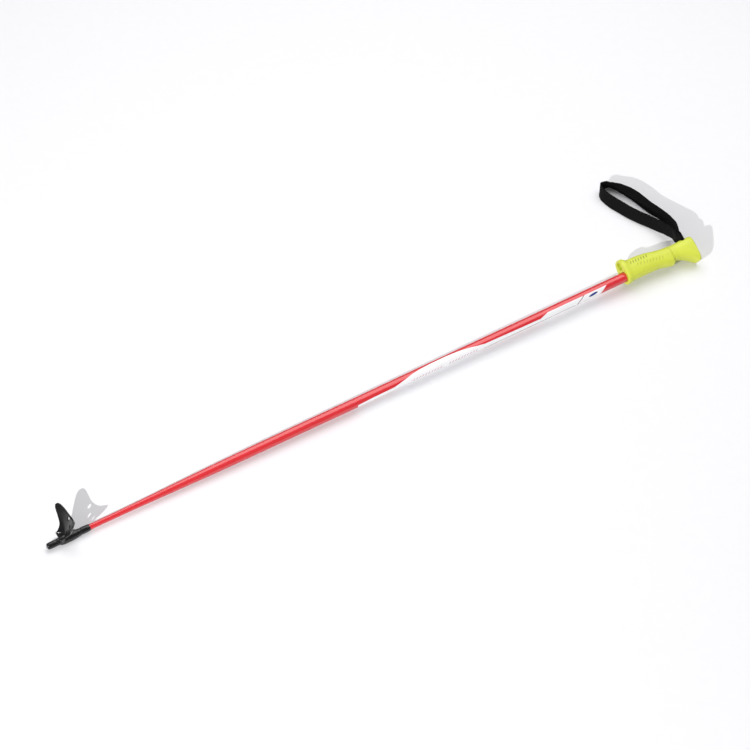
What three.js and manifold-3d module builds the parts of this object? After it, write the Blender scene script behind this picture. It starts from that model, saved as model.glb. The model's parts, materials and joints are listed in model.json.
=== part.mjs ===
// Ski pole lying on the floor: tip at -X, grip at +X, wrist strap laid out towards +Y. Millimetres, +Z up.
// Inside the pole's own frame, x runs along the shaft from the tip's end, z points to the rear of the
// grip (away from the fingers) and y across it. The rolled and pitched pole group carries that frame.
import * as THREE from 'three';
import { mergeVertices } from 'three/addons/utils/BufferGeometryUtils.js';
import Module from 'manifold-3d';

const wasm = await Module();
wasm.setup();

// ---- driving dimensions, mm ----
const GAP = 0.3;
const POLE_LENGTH = 1100;
const ROLL = THREE.MathUtils.degToRad(-60);
const PITCH = THREE.MathUtils.degToRad(-0.839);
const AXIS_HEIGHT_AT_TIP = 6.3;

const SHAFT_START = 26;
const SHAFT_END = 1060;
const SHAFT_RADIUS = 8;
const SHAFT_WALL = 1;
// [x, outer radius]: swaged lower end, taper, slow taper, parallel tube
const SHAFT_PROFILE = [[26, 4.1], [110, 4.3], [155, 4.85], [200, 5.75], [245, 6.55], [295, 7.1], [360, 7.35],
  [480, 7.7], [620, 8], [1060, 8]];

const FERRULE_START = 1.5;
const FERRULE_END = 66;
const FERRULE_RADIUS = 5.3;
const INSERT_RADIUS = 1.8;
const INSERT_DEPTH = 15;
const INSERT_FACE_RADIUS = 1.3;

const HUB_START = 20;
const HUB_END = 47;
const HUB_RADIUS = 7.4;
const BASKET_TURN = THREE.MathUtils.degToRad(-13.7);
// paw surface: x = PAW_X + PAW_RISE * u - arch * w * w, with u outwards from the shaft and w across; the arch
// is PAW_ARCH far out and grows by PAW_WRAP at the hub, so that the paw's root wraps round it
const PAW_X = 26;
const PAW_RISE = 0.624;
const PAW_ARCH = 0.0148;
const PAW_WRAP = 0.09;
const PAW_WRAP_START = 8;
const PAW_WRAP_REACH = 2.6;
const PAW_THICKNESS = 2.4;
// half of the paw's edge, [u, w], from the hub round the horn to the middle of the hollow outer edge
const PAW_EDGE = [[0, 7.2], [4, 8.8], [8, 10.6], [13, 14.4], [17, 17.8], [20.5, 21], [24.5, 24],
  [30, 27.8], [35.4, 30.4], [38.4, 30.9], [39.8, 29.6], [39, 26.4], [36.4, 21.4], [33.6, 16],
  [31.3, 10.6], [30, 5], [29.6, 0]];
const PAW_HOLE_RADIUS = 2.3;
const PAW_HOLES = [[26.3, -4.7], [21.2, 6], [23, 18]];

const GRIP_START = 973;
// [x from the flange, rear, front, half width, squareness] of the grip's sections, each a superellipse
const GRIP_OUTLINE = [[0, 26.4, 11.8, 14.2, 2.5], [1.2, 27.5, 12.6, 14.9, 2.5],
  [5, 27.4, 12.5, 14.9, 2.5], [8, 25.6, 11.8, 14.4, 2.5], [12.5, 22.8, 11.2, 14, 2.5],
  [25, 22.4, 10.9, 13.8, 2.5], [44, 20.8, 10.9, 13.6, 2.5], [60.5, 17.6, 11.4, 13.4, 2.5],
  [74.5, 15.4, 14.4, 13.8, 2.6], [83, 14.9, 16, 13.9, 2.6], [86, 14.6, 11.8, 12.8, 2.6],
  [93.5, 14.2, 11.6, 12.8, 2.7], [102.5, 14.2, 13.6, 14.2, 2.9], [111.5, 14.7, 18, 15.2, 3.2],
  [119, 14.8, 23.4, 15.6, 3.6], [124.6, 14.6, 27, 15.6, 3.8], [126.5, 14.1, 27, 15.1, 3.8],
  [127, 13.4, 26.3, 14.6, 3.8]];
const GRIP_BORE_END = 1063.2;
const POCKET_DEPTH = 7.5;
const POCKET_WIDTH = 12;
const POCKET_LOW = 11.8;
const POCKET_HIGH = 23.2;

const SLOT_X = 1087;
const SLOT_HALF = 4.8;
const SLOT_WIDTH = 23.4;
const PIN_RADIUS = 2;
const PIN_Z = 2.5;
const PIN_LENGTH = 27;
const WEBBING_THICKNESS = 2;
const WEBBING_WIDTH = 22;
const FOLD_TOP = 12.8;
const WEDGE_START = 1092.2;
const WEDGE_Z = 7;

// wrist strap's centre line on the floor frame, from its root round the loop: [x, y, z, lean in degrees];
// the webbing leans from upright towards LEAN_SIDE
const LEAN_SIDE = new THREE.Vector3(0.51, 0.86, 0);
const STRAP_ROUTE = [[1087.6, 18.8, 29.4, -30], [1090, 21.6, 28.6, -30], [1096, 33, 26.8, -22],
  [1103, 48.2, 22, -8], [1106.2, 67, 16.8, 3], [1105.5, 88.8, 12.8, 10], [1101.5, 110.7, 11, 14],
  [1097.3, 137.7, 10.9, 14], [1092.9, 153.8, 11.1, 8], [1087.7, 166.1, 11.2, -3],
  [1081.5, 178.4, 10.5, -20], [1076.3, 185.1, 10.2, -24], [1066.6, 187.8, 11, -8],
  [1058.3, 185.8, 11.1, 8], [1054.1, 175.6, 10.5, 20], [1055.7, 156.4, 10.1, 26], [1061.3, 137, 10.3, 24],
  [1067.1, 118.5, 10.5, 21], [1074.2, 101.3, 10.8, 19], [1082, 84.9, 11.2, 18], [1087.5, 68.8, 13, 14],
  [1091, 54, 16.2, 6], [1090.6, 38.1, 22, -10], [1085.8, 22.4, 28.4, -28]];
const STRAP_STATIONS = 96;

// ---- helpers ----
function toSolid(geometry) {
  const bare = geometry.index ? geometry.clone() : geometry;
  bare.deleteAttribute('normal');
  bare.deleteAttribute('uv');
  const welded = mergeVertices(bare, 1e-4);
  return new wasm.Manifold(new wasm.Mesh({
    numProp: 3,
    vertProperties: new Float32Array(welded.attributes.position.array),
    triVerts: new Uint32Array(welded.index.array),
  }));
}

function toGeometry(solid) {
  const mesh = solid.getMesh();
  const geometry = new THREE.BufferGeometry();
  geometry.setAttribute('position', new THREE.BufferAttribute(new Float32Array(mesh.vertProperties), 3));
  geometry.setIndex(new THREE.BufferAttribute(new Uint32Array(mesh.triVerts), 1));
  geometry.computeVertexNormals();
  return geometry;
}

function named(name, geometry, color, roughness, metalness = 0) {
  const mesh = new THREE.Mesh(geometry, new THREE.MeshStandardMaterial({ color, roughness, metalness }));
  mesh.name = name;
  return mesh;
}

// a turned piece: [x, radius] pairs, spun round the shaft's axis
function turned(profile, segments = 32) {
  const points = profile.map(([x, radius]) => new THREE.Vector2(radius, x));
  return new THREE.LatheGeometry(points, segments).rotateZ(-Math.PI / 2);
}

function box(x0, x1, y0, y1, z0, z1) {
  const block = new THREE.BoxGeometry(x1 - x0, y1 - y0, z1 - z0);
  return block.translate((x0 + x1) / 2, (y0 + y1) / 2, (z0 + z1) / 2);
}

function smoothstep(t) {
  return t * t * (3 - 2 * t);
}

// skin over rings of points that run anticlockwise round the sweep; an open ring list gets two flat ends
function loft(rings, closed) {
  const around = rings[0].length;
  const positions = rings.flat().flatMap((p) => [p.x, p.y, p.z]);
  const index = [];
  const spans = closed ? rings.length : rings.length - 1;
  for (let i = 0; i < spans; i += 1) {
    const next = (i + 1) % rings.length;
    for (let j = 0; j < around; j += 1) {
      const k = (j + 1) % around;
      const [a, b, c, d] = [i * around + j, next * around + j, next * around + k, i * around + k];
      index.push(a, c, b, a, d, c);
    }
  }
  if (!closed) {
    const last = (rings.length - 1) * around;
    for (let j = 1; j < around - 1; j += 1) {
      index.push(0, j + 1, j);
      index.push(last, last + j, last + j + 1);
    }
  }
  const geometry = new THREE.BufferGeometry();
  geometry.setAttribute('position', new THREE.BufferAttribute(new Float32Array(positions), 3));
  geometry.setIndex(index);
  return geometry;
}

// ---- shaft ----
function shaftTube() {
  const outer = SHAFT_PROFILE;
  const inner = SHAFT_PROFILE.map(([x, radius]) => [x, radius - SHAFT_WALL]).reverse();
  return turned([...outer, ...inner, outer[0]]);
}

function shaftEndPlug() {
  const body = SHAFT_RADIUS - SHAFT_WALL - GAP;
  const seat = SHAFT_END + GAP;
  return turned([[SHAFT_END - 10, 0], [SHAFT_END - 10, body - 0.8], [SHAFT_END - 8.5, body], [seat, body],
    [seat, SHAFT_RADIUS - 0.1], [seat + 2.2, SHAFT_RADIUS - 0.1], [seat + 2.2, 0]]);
}

// ---- tip ----
function ferrule() {
  const bore = SHAFT_PROFILE[0][1] + GAP;
  return turned([[INSERT_DEPTH, 0], [INSERT_DEPTH, INSERT_RADIUS + GAP], [FERRULE_START, INSERT_RADIUS + GAP],
    [FERRULE_START, 3.4], [2.3, 4.3], [4.2, 4.9], [9, 5.1], [HUB_START, FERRULE_RADIUS], [62, FERRULE_RADIUS],
    [FERRULE_END, 4.8], [FERRULE_END, bore], [SHAFT_START - 1, bore], [SHAFT_START - 1, 0]]);
}

function tipInsert() {
  const end = INSERT_DEPTH - GAP;
  return turned([[0, 0], [0, INSERT_FACE_RADIUS], [0.7, INSERT_RADIUS], [end, INSERT_RADIUS], [end, 0]], 24);
}

// ---- basket ----
function pawSheet() {
  const half = PAW_EDGE.map(([u, w]) => new THREE.Vector2(u, w));
  const mirrored = half.slice(0, -1).reverse().map((p) => new THREE.Vector2(p.x, -p.y));
  const sheet = new THREE.Shape([...half, ...mirrored]);
  for (const [u, w] of PAW_HOLES) {
    sheet.holes.push(new THREE.Path().absarc(u, w, PAW_HOLE_RADIUS, 0, Math.PI * 2));
  }
  return new THREE.ExtrudeGeometry(sheet, { depth: PAW_THICKNESS, bevelEnabled: false, curveSegments: 8 });
}

// cuts the flat sheet into narrow cells, so that it can be arched
function celled(solid) {
  const columns = [-5, 6, 10, 14, 22, 50];
  let cells = null;
  for (let w = -33; w < 33; w += 3) {
    for (let i = 0; i < columns.length - 1; i += 1) {
      const cell = solid.intersect(toSolid(box(columns[i], columns[i + 1], w, w + 3, -1, PAW_THICKNESS + 1)));
      cells = cells ? cells.add(cell) : cell;
    }
  }
  return cells;
}

function archedPaw() {
  const geometry = toGeometry(celled(toSolid(pawSheet())));
  const position = geometry.attributes.position;
  for (let i = 0; i < position.count; i += 1) {
    const [u, w, t] = [position.getX(i), position.getY(i), position.getZ(i)];
    const wrap = Math.exp((PAW_WRAP_START - Math.max(u, PAW_WRAP_START)) / PAW_WRAP_REACH);
    const arch = PAW_ARCH + PAW_WRAP * wrap;
    position.setXYZ(i, PAW_X + PAW_RISE * u - arch * w * w + t * (1 + 0.5 * wrap), -w, u);
  }
  return geometry;
}

function basket() {
  const bore = FERRULE_RADIUS + GAP;
  const hub = turned([[HUB_START, bore], [HUB_START, 6.4], [HUB_START + 1.5, 6.9],
    [HUB_START + 8, HUB_RADIUS], [HUB_START + 17, HUB_RADIUS], [HUB_END - 2, 6.7], [HUB_END, 6.3],
    [HUB_END, bore], [HUB_START, bore]]);
  const hole = turned([[HUB_START - 20, 0], [HUB_START - 20, bore], [HUB_END + 20, bore], [HUB_END + 20, 0]]);
  return toGeometry(toSolid(archedPaw()).add(toSolid(hub)).subtract(toSolid(hole)));
}

// ---- grip ----
function gripSection(x, rear, front, half, squareness) {
  const middle = (rear - front) / 2;
  const depth = (rear + front) / 2;
  const ring = [];
  for (let j = 0; j < 40; j += 1) {
    const angle = (j / 40) * Math.PI * 2;
    const [c, s] = [Math.cos(angle), Math.sin(angle)];
    const y = half * Math.sign(c) * Math.abs(c) ** (2 / squareness);
    const z = middle + depth * Math.sign(s) * Math.abs(s) ** (2 / squareness);
    ring.push(new THREE.Vector3(GRIP_START + x, y, z));
  }
  return ring;
}

function gripSkin() {
  const rings = [];
  for (let i = 0; i < GRIP_OUTLINE.length - 1; i += 1) {
    const [from, to] = [GRIP_OUTLINE[i], GRIP_OUTLINE[i + 1]];
    const steps = Math.max(1, Math.round((to[0] - from[0]) / 4));
    for (let k = 0; k < steps; k += 1) {
      const t = k / steps;
      const blend = smoothstep(t);
      const mix = (n) => THREE.MathUtils.lerp(from[n], to[n], blend);
      rings.push(gripSection(THREE.MathUtils.lerp(from[0], to[0], t), mix(1), mix(2), mix(3), mix(4)));
    }
  }
  rings.push(gripSection(...GRIP_OUTLINE.at(-1)));
  return loft(rings, false);
}

function pinBar(radius, length) {
  return new THREE.CylinderGeometry(radius, radius, length, 24).translate(SLOT_X, 0, PIN_Z);
}

function wedgeShape(grow) {
  const end = POLE_LENGTH + (grow > 0 ? 1 : 0);
  const outline = new THREE.Shape([
    new THREE.Vector2(WEDGE_START - grow, WEDGE_Z - 2.6 - grow),
    new THREE.Vector2(end, WEDGE_Z - 3.4 - grow),
    new THREE.Vector2(end, WEDGE_Z + 3.1 + grow),
    new THREE.Vector2(WEDGE_START - grow, WEDGE_Z + 2.3 + grow)]);
  const width = 15 + 2 * grow;
  const wedge = new THREE.ExtrudeGeometry(outline, { depth: width, bevelEnabled: false });
  return wedge.rotateX(Math.PI / 2).translate(0, width / 2, 0);
}

function gripBody() {
  const socket = SHAFT_RADIUS + GAP;
  const bore = turned([[GRIP_START - 1, 0], [GRIP_START - 1, socket], [GRIP_BORE_END, socket],
    [GRIP_BORE_END, 0]], 40);
  const slot = box(SLOT_X - SLOT_HALF, SLOT_X + SLOT_HALF, -SLOT_WIDTH / 2, SLOT_WIDTH / 2, PIN_Z - 5.2, 40);
  const pocketSide = POCKET_WIDTH / 2;
  const pocketEnd = GRIP_START + POCKET_DEPTH;
  const pocket = box(GRIP_START - 1, pocketEnd, -pocketSide, pocketSide, POCKET_LOW, POCKET_HIGH);
  let body = toSolid(gripSkin());
  for (const cut of [bore, slot, pocket, pinBar(PIN_RADIUS + GAP, PIN_LENGTH + 2 * GAP), wedgeShape(GAP)]) {
    body = body.subtract(toSolid(cut));
  }
  return toGeometry(body);
}

// ---- strap ----
// the webbing's inner end, folded round the pin inside the head, as a U drawn in the grip's x-z plane
function strapFold() {
  const inner = PIN_RADIUS + GAP;
  const outer = inner + WEBBING_THICKNESS;
  const outline = new THREE.Shape();
  outline.moveTo(SLOT_X - outer, FOLD_TOP);
  outline.lineTo(SLOT_X - outer, PIN_Z);
  outline.absarc(SLOT_X, PIN_Z, outer, Math.PI, Math.PI * 2, false);
  outline.lineTo(SLOT_X + outer, FOLD_TOP);
  outline.lineTo(SLOT_X + inner, FOLD_TOP);
  outline.lineTo(SLOT_X + inner, PIN_Z);
  outline.absarc(SLOT_X, PIN_Z, inner, Math.PI * 2, Math.PI, true);
  outline.lineTo(SLOT_X - inner, FOLD_TOP);
  const extrusion = { depth: WEBBING_WIDTH, bevelEnabled: false, curveSegments: 12 };
  const fold = new THREE.ExtrudeGeometry(outline, extrusion);
  return fold.rotateX(Math.PI / 2).translate(0, WEBBING_WIDTH / 2, 0);
}

// the loop outside the grip: webbing standing on its edge, leaning one way or the other as it runs round
function wristStrap() {
  const points = STRAP_ROUTE.map(([x, y, z]) => new THREE.Vector3(x, y, z));
  const route = new THREE.CatmullRomCurve3(points, true, 'centripetal');
  const rings = [];
  for (let i = 0; i < STRAP_STATIONS; i += 1) {
    const t = route.getUtoTmapping(i / STRAP_STATIONS);
    const at = route.getPoint(t);
    const along = route.getTangent(t);
    const row = Math.floor(t * STRAP_ROUTE.length);
    const from = STRAP_ROUTE[row % STRAP_ROUTE.length][3];
    const to = STRAP_ROUTE[(row + 1) % STRAP_ROUTE.length][3];
    const part = smoothstep(t * STRAP_ROUTE.length - row);
    const lean = THREE.MathUtils.degToRad(THREE.MathUtils.lerp(from, to, part));
    const upright = new THREE.Vector3(0, 0, Math.cos(lean)).addScaledVector(LEAN_SIDE, Math.sin(lean));
    const out = new THREE.Vector3().crossVectors(along, upright).normalize();
    const across = new THREE.Vector3().crossVectors(out, along).normalize();
    const corner = (a, b) => at.clone()
      .addScaledVector(out, (a * WEBBING_THICKNESS) / 2)
      .addScaledVector(across, (b * WEBBING_WIDTH) / 2);
    rings.push([corner(1, 1), corner(1, -1), corner(-1, -1), corner(-1, 1)]);
  }
  return loft(rings, true);
}

// ---- assembly ----
const pole = new THREE.Group();
pole.add(named('shaft_tube', shaftTube(), 0xc8101c, 0.25, 0.2));
pole.add(named('shaft_end_plug', shaftEndPlug(), 0x202020, 0.6));
pole.add(named('ferrule', ferrule(), 0x141416, 0.45));
pole.add(named('tip_insert', tipInsert(), 0x9a9a9e, 0.35, 0.9));
pole.add(named('grip_body', gripBody(), 0xd3e23a, 0.5));
pole.add(named('strap_pin', pinBar(PIN_RADIUS, PIN_LENGTH), 0xb0b0b4, 0.3, 0.9));
pole.add(named('strap_fold', strapFold(), 0x101012, 0.9));
pole.add(named('strap_wedge', wedgeShape(0), 0x1a1a1c, 0.55));
const basketPiece = named('basket', basket(), 0x131315, 0.5);
basketPiece.rotation.x = BASKET_TURN - ROLL;
pole.add(basketPiece);
pole.rotation.set(ROLL, PITCH, 0, 'YXZ');
pole.position.z = AXIS_HEIGHT_AT_TIP;

const skiPole = new THREE.Group();
skiPole.add(pole);
skiPole.add(named('wrist_strap', wristStrap(), 0x101012, 0.9));
skiPole.updateMatrixWorld(true);

// the origin is the middle of the whole object's box, on the floor
const bounds = new THREE.Box3().setFromObject(skiPole, true);
skiPole.position.set(-(bounds.min.x + bounds.max.x) / 2, -(bounds.min.y + bounds.max.y) / 2, -bounds.min.z);

export default skiPole;
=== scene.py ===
"""A ski pole lying on a pale studio floor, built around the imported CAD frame.

Lengths are written in millimetres in the pole's own frame: x runs along the shaft from the tip's end, z points
to the rear of the grip and y across it. world() turns them into the row's frame, in metres.
"""
import json
import math
import random

import bmesh
import bpy
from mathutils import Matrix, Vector

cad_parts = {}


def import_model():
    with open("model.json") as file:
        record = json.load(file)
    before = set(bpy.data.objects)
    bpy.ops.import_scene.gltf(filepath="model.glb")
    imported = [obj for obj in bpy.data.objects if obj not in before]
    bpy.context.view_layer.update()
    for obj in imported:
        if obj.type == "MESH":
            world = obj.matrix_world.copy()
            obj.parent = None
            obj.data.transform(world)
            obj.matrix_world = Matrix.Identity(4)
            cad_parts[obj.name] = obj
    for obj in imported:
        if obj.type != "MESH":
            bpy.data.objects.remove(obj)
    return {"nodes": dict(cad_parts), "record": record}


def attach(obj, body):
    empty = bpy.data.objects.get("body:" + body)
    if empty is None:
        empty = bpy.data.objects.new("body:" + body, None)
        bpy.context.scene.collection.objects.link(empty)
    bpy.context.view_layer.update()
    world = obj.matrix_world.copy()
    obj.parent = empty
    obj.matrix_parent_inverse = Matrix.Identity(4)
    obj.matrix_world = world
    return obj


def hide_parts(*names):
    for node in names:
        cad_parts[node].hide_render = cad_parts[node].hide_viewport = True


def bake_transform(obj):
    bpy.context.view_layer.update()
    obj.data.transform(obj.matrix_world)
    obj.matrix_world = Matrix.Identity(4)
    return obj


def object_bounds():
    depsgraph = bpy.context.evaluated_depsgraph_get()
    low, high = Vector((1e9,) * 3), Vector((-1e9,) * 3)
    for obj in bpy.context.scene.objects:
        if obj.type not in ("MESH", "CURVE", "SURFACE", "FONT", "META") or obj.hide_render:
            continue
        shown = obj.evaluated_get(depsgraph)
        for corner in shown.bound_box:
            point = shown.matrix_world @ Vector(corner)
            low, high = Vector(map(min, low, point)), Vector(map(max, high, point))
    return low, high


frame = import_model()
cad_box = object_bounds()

MM = 0.001
RECORD = frame["record"]
MOUNTS = {mount["name"]: mount for mount in RECORD["mounts"]}
JOINTS = {joint["name"]: joint for joint in RECORD["behaviour"]["joints"]}

# ---- the pole's own frame, from the record's mounts and joints ----
TIP = Vector(MOUNTS["tip_face"]["pos_m"])
ALONG = Vector(MOUNTS["head_face"]["axis"]).normalized()
ACROSS = Vector(JOINTS["strap_swing"]["axis"]).normalized()
REAR = ALONG.cross(ACROSS).normalized()
POLE_LENGTH = (Vector(MOUNTS["head_face"]["pos_m"]) - TIP).dot(ALONG) / MM
GRIP_START = (Vector(MOUNTS["flange_face"]["pos_m"]) - TIP).dot(ALONG) / MM
FLOOR_Z = cad_box[0][2]


def world(x, y, z):
    return TIP + (ALONG * x + ACROSS * y + REAR * z) * MM


def local(point):
    offset = (Vector(point) - TIP) / MM
    return Vector((offset.dot(ALONG), offset.dot(ACROSS), offset.dot(REAR)))


# ---- camera ----
CAMERA_ELEVATION = math.radians(50)
CAMERA_AZIMUTH = math.radians(30.6)
CAMERA_DISTANCE = 2.869
CAMERA_FIELD = math.radians(22)
CAMERA_CLIP_END = 20
# the point on the floor that the camera looks at, in metres from under the tip
AIM_ALONG = 0.5514
AIM_ASIDE = 0.0414
CAMERA_TARGET = Vector((TIP.x + AIM_ALONG, TIP.y + AIM_ASIDE, FLOOR_Z))


def make_camera():
    back = Vector((-math.sin(CAMERA_AZIMUTH) * math.cos(CAMERA_ELEVATION),
                   -math.cos(CAMERA_AZIMUTH) * math.cos(CAMERA_ELEVATION),
                   math.sin(CAMERA_ELEVATION)))
    camera = bpy.data.objects.new("camera", bpy.data.cameras.new("camera"))
    bpy.context.collection.objects.link(camera)
    camera.data.angle = CAMERA_FIELD
    camera.data.clip_end = CAMERA_CLIP_END
    camera.location = CAMERA_TARGET + back * CAMERA_DISTANCE
    camera.rotation_euler = (-back).to_track_quat("-Z", "Y").to_euler()
    bpy.context.scene.camera = camera


make_camera()

# ---- mesh helpers ----
WELD_DISTANCE = 1e-6


def mesh_object(name, vertices, faces, smooth_angle=35):
    mesh = bpy.data.meshes.new(name)
    mesh.from_pydata([tuple(v) for v in vertices], [], faces)
    mesh.update()
    piece = bpy.data.objects.new(name, mesh)
    bpy.context.collection.objects.link(piece)
    tidy_normals(piece, smooth_angle)
    return piece


def tidy_normals(piece, smooth_angle):
    """Welds and turns the faces outward, and marks edges over the angle (in degrees) as sharp."""
    work = bmesh.new()
    work.from_mesh(piece.data)
    bmesh.ops.remove_doubles(work, verts=work.verts, dist=WELD_DISTANCE)
    bmesh.ops.recalc_face_normals(work, faces=work.faces)
    for edge in work.edges:
        sharp = len(edge.link_faces) != 2 or edge.calc_face_angle(0) > math.radians(smooth_angle)
        edge.smooth = not sharp
    for face in work.faces:
        face.smooth = True
    work.to_mesh(piece.data)
    work.free()


def ring_faces(rings, around, closed):
    """Faces between rings of vertices; open rows get a flat face at each end."""
    faces = []
    for i in range(rings if closed else rings - 1):
        a = i * around
        b = ((i + 1) % rings) * around
        for j in range(around):
            k = (j + 1) % around
            faces.append((a + j, b + j, b + k, a + k))
    if not closed:
        faces.append(tuple(range(around)))
        faces.append(tuple((rings - 1) * around + j for j in reversed(range(around))))
    return faces


def loft(name, rings, closed=False, smooth_angle=35):
    """Skin over rings of points in metres, with flat ends or joined into a closed loop."""
    vertices = [point for ring in rings for point in ring]
    return mesh_object(name, vertices, ring_faces(len(rings), len(rings[0]), closed), smooth_angle)


def turned(name, profile, segments=96, smooth_angle=35):
    """A lathe piece from [x, radius] pairs in millimetres; a radius of 0 closes the end."""
    vertices = []
    faces = []
    rows = []
    for x, radius in profile:
        if radius == 0:
            rows.append([len(vertices)] * segments)
            vertices.append(world(x, 0, 0))
            continue
        rows.append([len(vertices) + j for j in range(segments)])
        for j in range(segments):
            angle = 2 * math.pi * j / segments
            vertices.append(world(x, radius * math.cos(angle), radius * math.sin(angle)))
    closed = profile[0][1] > 0
    for i in range(len(rows) if closed else len(rows) - 1):
        low, high = rows[i], rows[(i + 1) % len(rows)]
        for j in range(segments):
            k = (j + 1) % segments
            corner = [low[j], high[j], high[k], low[k]]
            faces.append(tuple(dict.fromkeys(corner)))
    return mesh_object(name, vertices, [f for f in faces if len(f) > 2], smooth_angle)


def rounded(profile, radius, steps=5):
    """Rounds each inner corner of an [x, radius] profile."""
    out = [profile[0]]
    for before, corner, after in zip(profile, profile[1:], profile[2:]):
        c = Vector(corner)
        to_before = Vector(before) - c
        to_after = Vector(after) - c
        reach = min(radius, to_before.length * 0.45, to_after.length * 0.45)
        start = c + to_before.normalized() * reach
        end = c + to_after.normalized() * reach
        for k in range(steps + 1):
            t = k / steps
            point = start * (1 - t) ** 2 + c * 2 * t * (1 - t) + end * t ** 2
            out.append([point.x, max(point.y, 0.0)])
    out.append(profile[-1])
    return out


def apply_modifiers(piece):
    depsgraph = bpy.context.evaluated_depsgraph_get()
    result = bpy.data.meshes.new_from_object(piece.evaluated_get(depsgraph))
    piece.modifiers.clear()
    old = piece.data
    piece.data = result
    bpy.data.meshes.remove(old)


def cut(piece, cutter):
    """Cuts the cutter out of the piece, then removes the cutter."""
    modifier = piece.modifiers.new("cut", "BOOLEAN")
    modifier.operation = "DIFFERENCE"
    modifier.solver = "EXACT"
    modifier.object = cutter
    apply_modifiers(piece)
    bpy.data.objects.remove(cutter)


def squarish(half_a, half_b, exponent, count):
    """Points (a, b) round a superellipse, anticlockwise; a smaller exponent makes squarer corners."""
    points = []
    for j in range(count):
        angle = 2 * math.pi * j / count
        c, s = math.cos(angle), math.sin(angle)
        a = half_a * math.copysign(abs(c) ** exponent, c)
        b = half_b * math.copysign(abs(s) ** exponent, s)
        points.append((a, b))
    return points


CURVE_STEPS = 40


def smooth_curve(points, count, closed=False):
    """Evenly spaced points along a centripetal Catmull-Rom curve, its length, and each point's place in
    the list of control points."""
    control = [Vector(p) for p in points]
    n = len(control)
    dense = []
    places = []
    for i in range(n if closed else n - 1):
        near = [(i + k) % n if closed else min(max(i + k, 0), n - 1) for k in (-1, 0, 1, 2)]
        p = [control[k] for k in near]
        knots = [0.0]
        for a, b in zip(p, p[1:]):
            knots.append(knots[-1] + max((b - a).length, 1e-9) ** 0.5)
        for step in range(CURVE_STEPS):
            t = knots[1] + (knots[2] - knots[1]) * step / CURVE_STEPS
            a = [p[k].lerp(p[k + 1], (t - knots[k]) / (knots[k + 1] - knots[k])) for k in range(3)]
            b = [a[k].lerp(a[k + 1], (t - knots[k]) / (knots[k + 2] - knots[k])) for k in range(2)]
            dense.append(b[0].lerp(b[1], (t - knots[1]) / (knots[2] - knots[1])))
            places.append(i + step / CURVE_STEPS)
    dense.append(control[0] if closed else control[-1])
    places.append(n if closed else n - 1)
    lengths = [0.0]
    for a, b in zip(dense, dense[1:]):
        lengths.append(lengths[-1] + (b - a).length)
    total = lengths[-1]
    out = []
    where = []
    cursor = 0
    for i in range(count):
        want = total * i / (count if closed else count - 1)
        while cursor < len(dense) - 2 and lengths[cursor + 1] < want:
            cursor += 1
        span = max(lengths[cursor + 1] - lengths[cursor], 1e-12)
        t = min((want - lengths[cursor]) / span, 1.0)
        out.append(dense[cursor].lerp(dense[cursor + 1], t))
        where.append(places[cursor] + (places[cursor + 1] - places[cursor]) * t)
    return out, total, where


def store_vector(piece, name, values):
    attribute = piece.data.attributes.new(name, "FLOAT_VECTOR", "POINT")
    attribute.data.foreach_set("vector", [c for v in values for c in v])


def store_pole_place(piece):
    """Keeps each vertex's place in the pole's own frame, in millimetres, for the materials."""
    store_vector(piece, "place", [local(v.co) for v in piece.data.vertices])


# ---- material helpers ----


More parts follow.
